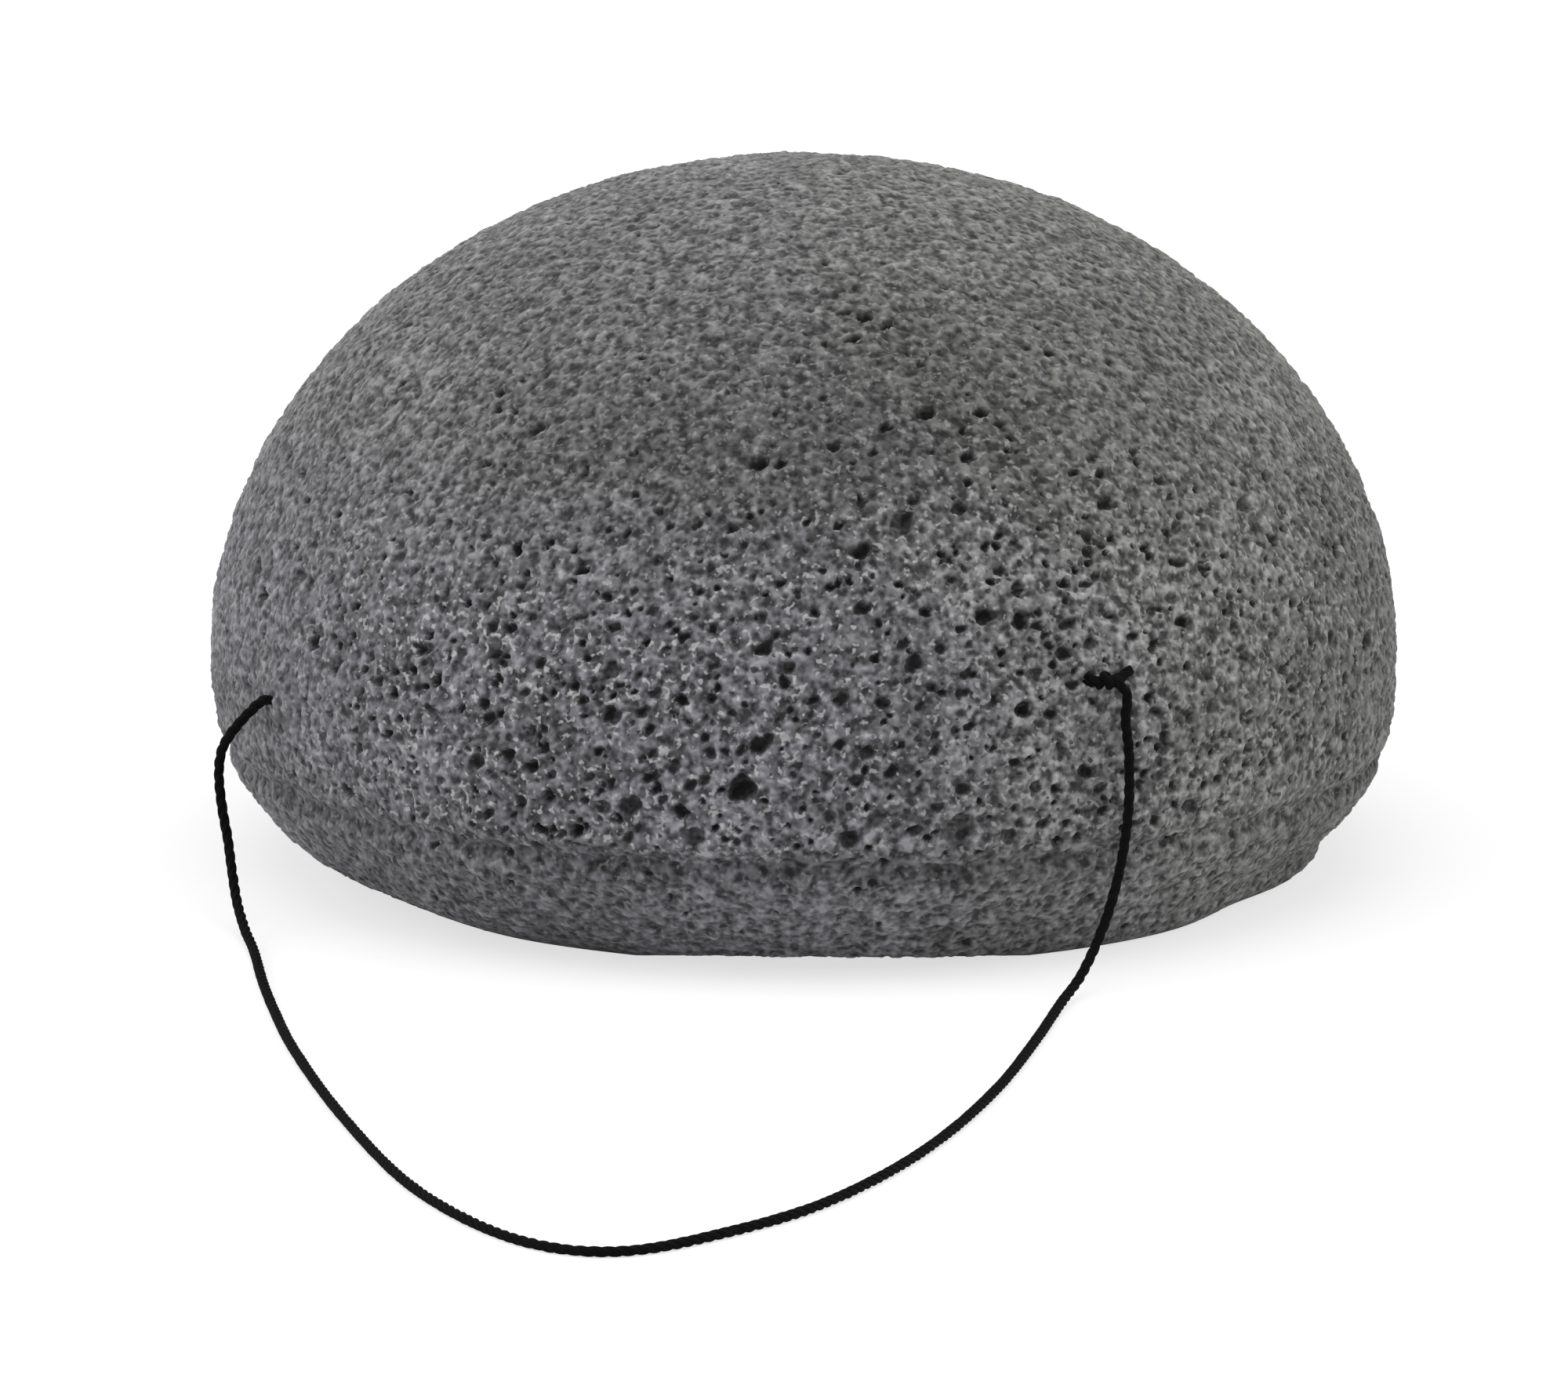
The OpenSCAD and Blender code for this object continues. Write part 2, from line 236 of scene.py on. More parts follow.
# The size of the foam's fine grain and of the cotton's, in metres, and how much of each is flecks.
FOAM_GRAIN, COTTON_GRAIN = (0.0007, 0.4), (0.0003, 0.5)
# What the foam's colour is multiplied by on its cool left and its warm right.
COOL_TINT, WARM_TINT = (1.0, 0.999, 1.085), (1.01, 1.01, 0.93)
# The painted glints' colour, and how far their pattern is moved, so that it doesn't follow the others.
PAINTED_GLINT_COLOUR = (0.62, 0.62, 0.62)
GLINT_SHIFT = (0.05, 0.02, 0.03)

# The cotton's fibres round a strand and along it in a metre, its worn spots in a metre, and its shaded,
# raised and worn colours as shares of its own.
FIBRES_ROUND, FIBRES_ALONG, WORN_SPOTS = 9.0, -1500.0, 900.0
COTTON_DARK, COTTON_LIGHT, COTTON_WORN = 0.6, 2.1, 4.0

# How near and how far the camera sees, in metres.
CAMERA_RANGE = (0.05, 50.0)
# The lamps' tilts and turns, and how wide each one is, in degrees.
LAMPS = {"key": (12, -12), "left": (62, -82), "right": (62, 82)}
LAMP_WIDTH = 50
# The floor's half width in metres, how dark the camera sees its colour, and how much it glows there.
FLOOR_REACH, FLOOR_SEEN, FLOOR_GLOW = 12, 0.6, 0.68


# Curves and properties.


def above(x, low, high):
    """0 below low, 1 above high and an even curve between them."""
    t = np.clip((x - low) / (high - low), 0.0, 1.0)
    return t * t * (3.0 - 2.0 * t)


def below(x, low, high):
    """1 below low, 0 above high and an even curve between them."""
    return 1 - above(x, low, high)


def metres(name, description, default):
    """A property that holds a length."""
    return bpy.props.FloatProperty(name=name, description=description, default=default, subtype="DISTANCE")


def number(name, description, default):
    """A property that holds a plain number."""
    return bpy.props.FloatProperty(name=name, description=description, default=default)


def count(name, description, default):
    """A property that holds a whole number."""
    return bpy.props.IntProperty(name=name, description=description, default=default)


def colour(name, description, default):
    """A property that holds a colour."""
    return bpy.props.FloatVectorProperty(name=name, description=description, default=default,
                                         subtype="COLOR", size=3)


# What a user may change.


class SpongeSizes(bpy.types.PropertyGroup):
    """The foam block."""
    waist_radius: metres("Waist radius", "Half the widest width", (SPONGE_HIGH.x - SPONGE_LOW.x) / 2)
    waist_height: metres("Waist height", "Height of the widest part", WAIST_HEIGHT)
    dome_height: metres("Dome height", "Height of the top above the widest part",
                        SPONGE_HIGH.z - WAIST_HEIGHT)
    dome_power: number("Dome fullness", "2 is an ellipse, more is squarer", 1.95)
    crease_height: metres("Crease height", "Height of the mould line", 0.0084)
    crease_inset: metres("Crease inset", "How far the side draws in at the crease", 0.0009)
    crease_depth: metres("Crease depth", "Depth of the mould line", 0.0006)
    crease_half_width: metres("Crease half width", "Half width of the mould line", 0.0007)
    base_inset: metres("Base inset", "How far the lip rounds in to the flat base", 0.008)
    lip_power: number("Lip fullness", "1 is a straight lip, 2 a quarter round", 1.3)
    mesh_steps: count("Skin steps", "Faces along each of the skin's twelve edges", 330)
    front_focus: number("Front focus", "How much finer the skin is in front than at the side", 1.55)


class PoreSizes(bpy.types.PropertyGroup):
    """The bubbles of the foam."""
    large_radius: metres("Large pore", "Radius of the largest pores", 0.0008)
    large_density: number("Large pores", "Large pores in a square metre", 0.025e6)
    medium_radius: metres("Medium pore", "Radius of the medium pores", 0.00048)
    medium_density: number("Medium pores", "Medium pores in a square metre", 0.15e6)
    small_radius: metres("Small pore", "Radius of the small pores", 0.00027)
    small_density: number("Small pores", "Small pores in a square metre", 0.72e6)
    rim_roughness: metres("Rim roughness", "How far a pore's rim strays from a circle", 0.00022)
    lump_height: metres("Lump height", "Height of the broad swells of the foam", 0.0005)
    ripple_height: metres("Ripple height", "Height of the small swells", 0.0002)
    grain_height: metres("Grain height", "Height of the crumbs between the pores", 0.00028)
    seed: count("Seed", "Changes where the pores fall", 11)


# The inputs of the tree that makes the pores, and the sizes that they take.
PORE_INPUTS = {name.replace("_", " ").title(): name for name in PoreSizes.__annotations__}


class StringSizes(bpy.types.PropertyGroup):
    """The cotton string."""
    diameter: metres("Diameter", "Thickness of the string", 0.0007)
    plies: count("Plies", "Strands twisted together", 3)
    lay: metres("Lay", "Length of one turn of the twist", 0.0026)
    knot_diameter: metres("Knot diameter", "Thickness of the knot", 0.0013)


class Finishes(bpy.types.PropertyGroup):
    """Colours of the foam and the string."""
    foam_dark: colour("Foam, shaded grain", "Colour between the crumbs", (0.030, 0.030, 0.0303))
    foam_light: colour("Foam, raised grain", "Colour of the crumbs", (0.285, 0.285, 0.286))
    # The pores' colour is painted shade: near black, for the shade deep inside the bubbles.
    foam_pore: colour("Foam, in the pores", "Colour inside the pores", (0.011, 0.011, 0.0113))
    string: colour("String", "Colour of the cotton", (0.0022, 0.0022, 0.0021))


class StageSettings(bpy.types.PropertyGroup):
    """Camera, floor and light."""
    elevation: bpy.props.FloatProperty(
        name="Camera elevation", description="Angle above the horizon", default=math.radians(13.0),
        subtype="ANGLE")
    distance: metres("Camera distance", "From the aim point", 1.2)
    aim: bpy.props.FloatVectorProperty(
        name="Aim point", description="Middle of the picture", default=(-0.0014, 0.0, 0.01086),
        subtype="TRANSLATION", size=3)
    scale: number("Picture scale", "Pixels to a millimetre at the aim point", 18.95)
    sky: number("Sky", "Strength of the light from all round", 0.45)
    key: number("Key light", "Strength of the light from above", 1.05)
    left: number("Left light", "Strength of the light from the left", 0.85)
    right: number("Right light", "Strength of the light from the right", 0.62)
    floor_colour: colour("Floor", "Colour of the floor", (0.7, 0.7, 0.7))


class Settings(bpy.types.PropertyGroup):
    """All that a user may change."""
    sponge: bpy.props.PointerProperty(type=SpongeSizes)
    pores: bpy.props.PointerProperty(type=PoreSizes)
    string: bpy.props.PointerProperty(type=StringSizes)
    finish: bpy.props.PointerProperty(type=Finishes)
    stage: bpy.props.PointerProperty(type=StageSettings)


def settings():
    """The panel's values in this scene."""
    return bpy.context.scene.konjac


# Node trees and meshes.


class Tree:
    """Adds nodes to a shader or geometry tree, and links them."""

    def __init__(self, tree):
        self.tree = tree

    def feed(self, socket, value):
        if isinstance(value, bpy.types.NodeSocket):
            self.tree.links.new(value, socket)
        else:
            socket.default_value = value

    def add(self, kind, inputs=None, **options):
        """A node with these options, each of its inputs set to a value or linked to a socket."""
        node = self.tree.nodes.new(kind)
        for name, value in options.items():
            setattr(node, name, value)
        for key, value in (inputs or {}).items():
            self.feed(node.inputs[key], value)
        return node

    def math(self, operation, *values):
        node = self.add("ShaderNodeMath", dict(enumerate(values)), operation=operation)
        return node.outputs[0]

    def plus(self, a, b):
        return self.math("ADD", a, b)

    def minus(self, a, b):
        return self.math("SUBTRACT", a, b)

    def times(self, a, b):
        return self.math("MULTIPLY", a, b)

    def line(self, value, slope, start):
        """The value times slope, plus start."""
        return self.math("MULTIPLY_ADD", value, slope, start)

    def vector(self, operation, *values):
        node = self.add("ShaderNodeVectorMath", dict(enumerate(values)), operation=operation)
        return node.outputs["Value" if operation in ("LENGTH", "DOT_PRODUCT") else "Vector"]

    def scaled(self, vector, scale):
        node = self.add("ShaderNodeVectorMath", {0: vector, "Scale": scale}, operation="SCALE")
        return node.outputs["Vector"]

    def spread(self, value, low, high, to_low=0.0, to_high=1.0, kind="SMOOTHSTEP"):
        """Takes low to to_low and high to to_high, with an even curve between them."""
        limits = {"Value": value, "From Min": low, "From Max": high, "To Min": to_low, "To Max": to_high}
        return self.add("ShaderNodeMapRange", limits, interpolation_type=kind, clamp=True).outputs["Result"]

    def ramp(self, value, low, high, to_low=0.0, to_high=1.0):
        """Takes low to to_low and high to to_high, in a straight line."""
        return self.spread(value, low, high, to_low, to_high, "LINEAR")

    def noise(self, vector, scale, detail=2.0, rough=0.5, output="Fac"):
        values = {"Vector": vector, "Scale": scale, "Detail": detail, "Roughness": rough}
        return self.add("ShaderNodeTexNoise", values).outputs[output]

    def bent(self, vector, scale, reach, detail=1.0, rough=0.5):
        """The vector, moved this way and that by noise."""
        away = self.vector("SUBTRACT", self.noise(vector, scale, detail, rough, "Color"), (0.5, 0.5, 0.5))
        return self.vector("ADD", vector, self.scaled(away, reach))

    def mix(self, factor, a, b, blend="MIX"):
        values = {0: factor, 6: a, 7: b}
        return self.add("ShaderNodeMix", values, data_type="RGBA", blend_type=blend).outputs[2]

    def object_place(self):
        """The place on the object, which a material's patterns follow."""
        return self.add("ShaderNodeTexCoord").outputs["Object"]

    def masks(self, *names):
        """Values that the mesh holds, read by a material."""
        return [self.add("ShaderNodeAttribute", attribute_name=name).outputs["Fac"] for name in names]

    def grain(self, place, size, fleck):
        """The fine grain's group, with its own size and share of flecks."""
        values = {"Vector": place, "Size": size, "Fleck": fleck}
        return self.add("ShaderNodeGroup", values, node_tree=bpy.data.node_groups["Fine grain"]).outputs

    def named(self, name, kind="FLOAT"):
        """Values that the mesh holds, read by a geometry tree."""
        return self.add("GeometryNodeInputNamedAttribute", {"Name": name}, data_type=kind).outputs[0]

    def store(self, geometry, name, value, kind="FLOAT"):
        values = {"Geometry": geometry, "Name": name, "Value": value}
        node = self.add("GeometryNodeStoreNamedAttribute", values, data_type=kind, domain="POINT")
        return node.outputs[0]

    def random(self, low, high, seed):
        """A number of its own for each point, between low and high."""
        return self.add("FunctionNodeRandomValue", {2: low, 3: high, 8: seed}, data_type="FLOAT").outputs[1]

    def end(self, geometry, material):
        """Ends a geometry tree: real geometry in one material."""
        real = self.add("GeometryNodeRealizeInstances", {0: geometry}).outputs[0]
        made = self.add("GeometryNodeSetMaterial", {"Geometry": real, "Material": material}).outputs[0]
        self.feed(self.add("NodeGroupOutput").inputs[0], made)
        return self.tree


def new_tree(kind, name, inputs, outputs):
    """A node group with these named sockets, each with its type. Whoever places it sets all its inputs."""
    tree = bpy.data.node_groups.new(name, kind)
    for way, sockets in (("INPUT", inputs), ("OUTPUT", outputs)):
        for label, socket in sockets.items():
            tree.interface.new_socket(label, in_out=way, socket_type="NodeSocket" + socket)
    return Tree(tree)


def with_modifier(obj, tree, values):
    """Puts a geometry tree on an object, its inputs set by name through their identifiers."""
    modifier = obj.modifiers.new(tree.name, "NODES")
    modifier.node_group = tree
    keys = {i.name: i.identifier for i in tree.interface.items_tree
            if i.item_type == "SOCKET" and i.in_out == "INPUT"}
    for name, value in values.items():
        modifier[keys[name]] = value


def linked(name, data):
    """An object for this data, in the scene."""
    obj = bpy.data.objects.new(name, data)
    bpy.context.scene.collection.objects.link(obj)
    return obj


def plain_piece(carrier, name):
    """The evaluated shape of an object as a plain mesh, in an object of its own."""
    bpy.context.view_layer.update()
    graph = bpy.context.evaluated_depsgraph_get()
    mesh = bpy.data.meshes.new_from_object(carrier.evaluated_get(graph))
    if not mesh.polygons:
        raise RuntimeError(f"{name} came out empty")
    mesh.name = name
    bpy.data.objects.remove(carrier)
    return linked(name, mesh)


def mesh_object(name, points, edges=(), faces=()):
    """An object for a mesh of these points, edges and faces."""
    mesh = bpy.data.meshes.new(name)
    mesh.from_pydata([tuple(p) for p in points], list(edges), list(faces))
    return linked(name, mesh)


def keep_values(mesh, values):
    """Stores a number for each point of the mesh under each name."""
    for name, numbers in values.items():
        stored = mesh.attributes.new(name, "FLOAT", "POINT")
        stored.data.foreach_set("value", np.asarray(numbers, np.float32))


def rgba(shade, level=1.0):
    """A colour for a socket, made darker or lighter."""
    return (*[c * level for c in shade], 1)


# The finishes of the foam and the string.


def grain_group():
    """Crumbs and flecks at two sizes, for the foam and for the cotton's fibres."""
    t = new_tree("ShaderNodeTree", "Fine grain",
                 {"Vector": "Vector", "Size": "Float", "Fleck": "Float"},
                 {"Value": "Float", "Height": "Float"})
    given = t.add("NodeGroupInput").outputs
    place, size, fleck = given["Vector"], given["Size"], given["Fleck"]
    scale = t.math("DIVIDE", 1.0, size)
    clumps = t.ramp(t.noise(place, scale, 1.2, 0.75), 0.35, 0.65)
    bent = t.bent(place, t.times(scale, 3.0), t.times(size, 0.35))
    cells = t.add("ShaderNodeTexVoronoi", {"Vector": bent, "Scale": t.times(scale, 1.7)})
    flecks = t.ramp(cells.outputs["Distance"], 0.0, 0.8)
    both = t.plus(t.times(clumps, t.minus(1.0, fleck)), t.times(flecks, fleck))
    height = t.ramp(both, 0.15, 0.95)
    t.add("NodeGroupOutput", {"Value": t.math("POWER", height, 1.4), "Height": height})


def plain_material(name, roughness, specular, sheen, sheen_roughness):
    """A material with its even values set on the shader, ready for a colour and a bump."""
    made = bpy.data.materials.new(name)
    made.use_nodes = True
    shader = made.node_tree.nodes["Principled BSDF"]
    for key, value in (("Roughness", roughness), ("Specular IOR Level", specular),
                       ("Sheen Weight", sheen), ("Sheen Roughness", sheen_roughness)):
        shader.inputs[key].default_value = value
    return made, Tree(made.node_tree), shader


def dress(t, shader, shade, height, strength, distance):
    """Gives a shader its colour and its bump."""
    bump = t.add("ShaderNodeBump", {"Strength": strength, "Distance": distance, "Height": height})
    t.feed(shader.inputs["Base Color"], shade)
    t.feed(shader.inputs["Normal"], bump.outputs["Normal"])


def foam_shade(t, place, grain, band):
    """The foam's colour between its pores: light crumbs on dark, drifting broadly over the block, with
    painted light and shade.
    """
    finish = settings().finish
    crumb, tone, warm, crease = t.masks("crumb", "tone", "warm", "crease")
    # The mesh's crumbs and the finer grain, drawn apart into dark and light.
    body = t.ramp(t.plus(t.times(crumb, 0.45), t.times(grain, 0.55)), 0.2, 0.88)
    shade = t.mix(t.math("POWER", body, 1.3), rgba(finish.foam_dark), rgba(finish.foam_light))
    # Broad patches, then the masks, each of which makes it lighter or darker by its own share: painted
    # light and shade, the band, and painted shade in the crease.
    level = t.ramp(t.noise(place, PATCHES, 2.0, 0.6), 0.3, 0.7, 0.83, 1.17)
    for mask, gain, start in ((tone, 0.38, 0.66), (band, 0.16, 1.0), (crease, -0.4, 1.0)):
        level = t.times(level, t.line(mask, gain, start))
    grey = t.add("ShaderNodeCombineColor", {0: level, 1: level, 2: level}).outputs[0]
    shade = t.mix(1.0, shade, grey, "MULTIPLY")
    return t.mix(1.0, shade, t.mix(warm, rgba(COOL_TINT), rgba(WARM_TINT)), "MULTIPLY")


def pit_mask(t, place, band):
    """Pits too small for the mesh, each cell with a size of its own, darkened with painted shade."""
    bent = t.bent(place, PIT_WAVES, PIT_BEND)
    cells = t.add("ShaderNodeTexVoronoi", {"Vector": bent, "Scale": PITS}).outputs
    chance = t.add("ShaderNodeSeparateColor", {0: cells["Color"]}).outputs[0]
    width = t.times(t.ramp(chance, 0.45, 1.0), t.line(band, 0.3, 0.1))
    return t.spread(t.minus(width, cells["Distance"]), -0.02, 0.1)


def painted_glint_mask(t, place):
    """Painted highlights: pale glints painted on the crumbs, a little more on the rims of the pores."""
    rim, moist = t.masks("rim", "moist")
    spots = t.spread(t.noise(t.vector("ADD", place, GLINT_SHIFT), GLINTS, 1.0, 0.5), 0.58, 0.69)
    return t.times(spots, t.times(t.line(rim, 0.1, 0.7), moist))


def foam_material():
    """Damp charcoal foam, with painted shade in its pores and pits and a painted glint here and there."""
    painted_pore_shade = rgba(settings().finish.foam_pore)
    foam, t, shader = plain_material("Konjac foam", roughness=0.93, specular=0.2, sheen=0.25,
                                     sheen_roughness=0.6)
    place = t.object_place()
    pore, band = t.masks("pore", "band")
    grain = t.grain(place, *FOAM_GRAIN)["Height"]
    pit = pit_mask(t, place, band)
    # Painted highlights: pale glints lighten the colour here and there.
    shade = t.mix(painted_glint_mask(t, place), foam_shade(t, place, grain, band), rgba(PAINTED_GLINT_COLOUR))
    # Painted shade: the pits are darkened towards the pores' colour.
    shade = t.mix(t.times(pit, PIT_SHADE), shade, painted_pore_shade)
    # Painted shade: the pores are darkened towards the pores' colour.
    shade = t.mix(pore, shade, painted_pore_shade)
    dress(t, shader, shade, t.minus(grain, t.times(pit, PIT_DEPTH)), strength=1.0, distance=0.0001)
    return foam


def string_material():
    """Black cotton whose fibres run along each strand, a little worn."""
    black = settings().finish.string
    cotton, t, shader = plain_material("Black cotton", roughness=0.85, specular=0.1, sheen=0.02,
                                       sheen_roughness=0.5)
    place = t.object_place()
    along, around = t.masks("along", "around")
    grain = t.grain(place, *COTTON_GRAIN)
    turns = t.plus(t.times(around, FIBRES_ROUND), t.times(along, FIBRES_ALONG))
    fibre = t.line(t.math("SINE", t.times(turns, math.tau)), 0.5, 0.5)
    raised = t.times(t.plus(fibre, grain["Value"]), 0.5)
    worn = t.spread(t.noise(place, WORN_SPOTS, 2.0, 0.6), 0.62, 0.8)
    shade = t.mix(raised, rgba(black, COTTON_DARK), rgba(black, COTTON_LIGHT))
    shade = t.mix(worn, shade, rgba(black, COTTON_WORN))
    height = t.plus(t.times(fibre, 0.6), t.times(grain["Height"], 0.8))
    dress(t, shader, shade, height, strength=0.8, distance=0.00004)
    return cotton


def material(name):
    """The material of that name, made on its first use."""
    if "Fine grain" not in bpy.data.node_groups:
        grain_group()
    made = bpy.data.materials.get(name)
    return made or {"Konjac foam": foam_material, "Black cotton": string_material}[name]()


# The camera's view, which the marked pores are placed through.


def camera_axes():
    """The camera's place, the way that it looks, and its up."""
    stage = settings().stage
    rise, run = math.sin(stage.elevation), math.cos(stage.elevation)
    ahead = Vector((0.0, run, -rise))
    return Vector(stage.aim) - stage.distance * ahead, ahead, Vector((0.0, rise, run))


def pixel_ray(x, y):
    """Direction from the camera through a pixel of the 2000 x 1780 picture."""
    stage = settings().stage
    ahead, up = camera_axes()[1:]
    focal = stage.scale * stage.distance / MM
    return (ahead + Vector((1, 0, 0)) * ((x - FRAME_WIDTH / 2) / focal)
            - up * ((y - FRAME_HEIGHT / 2) / focal)).normalized()


# The foam.


def side_profile():
    """Radius and height down the foam's side, from the top's middle to the base's middle."""
    s = settings().sponge
    base = s.waist_radius - s.crease_inset - s.base_inset
    dome_points, side_points, lip_points, base_points = OUTLINE_POINTS
    angle = np.linspace(0.0, math.pi / 2, dome_points)
    dome_z = s.waist_height + s.dome_height * np.cos(angle)
    dome = s.waist_radius * np.clip(1 - np.cos(angle) ** 2, 0, 1) ** (1 / s.dome_power)
    side_z = np.linspace(s.waist_height, s.crease_height, side_points)[1:]
    drop = (s.waist_height - side_z) / (s.waist_height - s.crease_height)
    side = s.waist_radius - s.crease_inset * drop ** 2
    lip_z = s.crease_height * (1 - np.linspace(0.0, 1.0, lip_points)[1:] ** LIP_CROWDING)
    drop = (s.crease_height - lip_z) / s.crease_height
    lip = base + s.base_inset * np.clip(1 - drop ** s.lip_power, 0, 1) ** (1 / s.lip_power)
    flat = np.linspace(base, 0.0, base_points)[1:]
    radius = np.concatenate([dome, side, lip, flat])
    height = np.concatenate([dome_z, side_z, lip_z, np.zeros(len(flat))])
    groove = s.crease_depth * np.exp(-((height - s.crease_height) / s.crease_half_width) ** 2)
    return radius - groove, height


def towards_front(way, focus):
    """Unit vectors crowded towards the front: they are laid on a flat map, which shrinks, and put back."""
    tiny, just_off = 1e-12, 1e-9
    front = np.array([0.0, -1.0, 0.0])
    along = way @ front
    flat = (way - along[:, None] * front) / (1 + along + tiny)[:, None] / focus
    size = (flat ** 2).sum(1)
    drawn = (2 * flat + (1 - size)[:, None] * front) / (1 + size)[:, None]
    # The point straight behind has no place on the map.
    drawn[along < -1 + just_off] = -front
    return drawn


def cube_sphere(n, focus):
    """Unit vectors of a round cube, finer towards the front, with its quads and each quad's place in a
    map of six squares."""
    sides = [((1, 0, 0), (0, 0, 1)), ((-1, 0, 0), (0, 0, 1)), ((0, 1, 0), (0, 0, 1)),
             ((0, -1, 0), (0, 0, 1)), ((1, 0, 0), (0, 1, 0)), ((1, 0, 0), (0, -1, 0))]
    i, j = np.meshgrid(np.arange(n + 1), np.arange(n + 1), indexing="ij")
    keys = []
    for u, v in sides:
        u, v = np.array(u), np.array(v)
        key = (i[..., None] * 2 - n) * u + (j[..., None] * 2 - n) * v + n * np.cross(u, v)
        keys.append(((key + n) // 2).reshape(-1, 3))
    keys = np.concatenate(keys)
    code = (keys[:, 0] * (n + 1) + keys[:, 1]) * (n + 1) + keys[:, 2]
    first, inverse = np.unique(code, return_index=True, return_inverse=True)[1:]
    way = np.tan((keys[first] * 2.0 / n - 1.0) * math.pi / 4)
    way /= np.linalg.norm(way, axis=1)[:, None]
    quads, uvs = [], []
    tile = np.stack([i, j], -1) / n
    for side, ids in enumerate(inverse.reshape(6, n + 1, n + 1)):
        corner = np.array([side % 3, side // 3]) + MAP_MARGIN
        place = (corner + (1 - 2 * MAP_MARGIN) * tile) / np.array([3.0, 2.0])
        for grid, made in ((ids, quads), (place, uvs)):
            made.append(np.stack([grid[:-1, :-1], grid[1:, :-1], grid[1:, 1:], grid[:-1, 1:]], 2))
    return towards_front(way, focus), np.concatenate([q.reshape(-1, 4) for q in quads]), np.stack(uvs)


def foam_points(way):
    """The skin's points: the outline turned round, with the lean, the dents and the settled front."""
    radius, height = side_profile()
    length = np.concatenate([[0], np.cumsum(np.hypot(np.diff(radius), np.diff(height)))])
    polar = np.arccos(np.clip(way[:, 2], -1, 1)) / math.pi * length[-1]
    r, z = np.interp(polar, length, radius), np.interp(polar, length, height)
    around = np.arctan2(way[:, 1], way[:, 0])
    co = np.stack([r * np.cos(around), r * np.sin(around), z], 1)
    # The lip sits a little to the right of the dome, as the mould left it.
    co[:, 0] += LIP_LEAN * MM * below(z, 0, LIP_LEAN_TOP * MM)
    for bearing, level, spread, depth in DENTS:
        middle = np.array([math.cos(math.radians(bearing)), math.sin(math.radians(bearing)), 0.0])
        near = np.interp(level * MM, DENT_HEIGHTS, DENT_RADII) * middle
        near[2] = level * MM
        pull = np.exp(-((co - near) ** 2).sum(1) / (spread * MM) ** 2) * depth * MM
        co -= pull[:, None] * middle
    # In front the base has settled on a line, not on a round.
    rest = (-co[:, 1] - FRONT_LINE * MM) * math.tan(settings().stage.elevation)
    co[:, 2] = np.maximum(co[:, 2], rest)
    return co


def pore_band(x, y, z):
    """How full of pores the foam is, at places in millimetres."""
    top = BAND_TOP + BAND_LIFT * above(x, -22, 8) + BAND_WAVER * np.sin(x / BAND_WAVE)
    band = above(z, *BAND_FOOT) * below(z, top - BAND_FADE_BELOW, top + BAND_FADE_ABOVE)
    # It thins out behind, and in front towards the left and the right edge.
    depth = BAND_BEHIND + (1 - BAND_BEHIND) * above(-y, -5, 12)
    edges = (1 - 0.85 * above(-x, 25, 36)) * (1 - 0.6 * above(x, 32, 39))
    return band * depth * np.where(y < 0, edges, EDGES_BEHIND)


def foam_painted_shading(x, y, z):
    """How light the foam is painted, at places in millimetres, matched: painted light and shade."""
    # Painted shade high on the dome, and painted light low in the middle, to the right and at the top.
    tone = above(np.hypot((x - 2) / 26, (z - 36) / 10), 0.2, 1.15)
    low_front = below(z, 8, 20) * above(x, -22, -4)
    right = above(x, 2, 16) * below(x, 20, 30) * below(z, 27, 33)
    tone = tone + np.maximum(0.65 * low_front, 0.45 * right) + 0.08 * above(z, 40, 45)
    # Painted shade on the right edge and on a stretch left of the middle, and painted light on the lip at
    # the right.
    tone = tone - 0.8 * above(x, 27, 36) * below(z, 26, 38)
    tone = tone - 0.3 * above(-x, 8, 18) * below(-x, 27, 34) * below(z, 28, 38)
    return tone + 0.3 * below(z, 3, 8) * above(x, 8, 18) * above(-y, 0, 10)


def crease_shade_mask(x, y, z):
    """Painted shade along the crease, at places in millimetres: weak on the left and at the front right."""
    line = settings().sponge.crease_height / MM - CREASE_DROP + CREASE_WAVER * np.sin(x / CREASE_WAVE + 0.7)
    crease = np.exp(-((z - line) / CREASE_WIDTH) ** 2)
    crease = crease * (CREASE_WEAK + (1 - CREASE_WEAK) * above(x, -26, -8))
    return crease * (1 - 0.7 * above(x, 17, 27) * above(-y, 8, 18))


def skin_masks(x, y, z):
    """The values that the pores and the colours follow, at places in millimetres."""
    band = pore_band(x, y, z)
    return {
        "band": band,
        # Painted light and shade over the block.
        "tone": foam_painted_shading(x, y, z),
        # The front, where the listed pores are placed.
        "marked": above(-y, 8, 20) * below(np.abs(x), 33, 38),
        "warm": above(x, -5, 34) * 0.8 + 0.6 * above(z, 20, 42),
        # How many painted glints there are: more in the band, less so to its right.
        "moist": 0.35 + band * (0.6 - 0.35 * above(x, -5, 18)),
        # Painted shade along the crease.
        "crease": crease_shade_mask(x, y, z),
    }


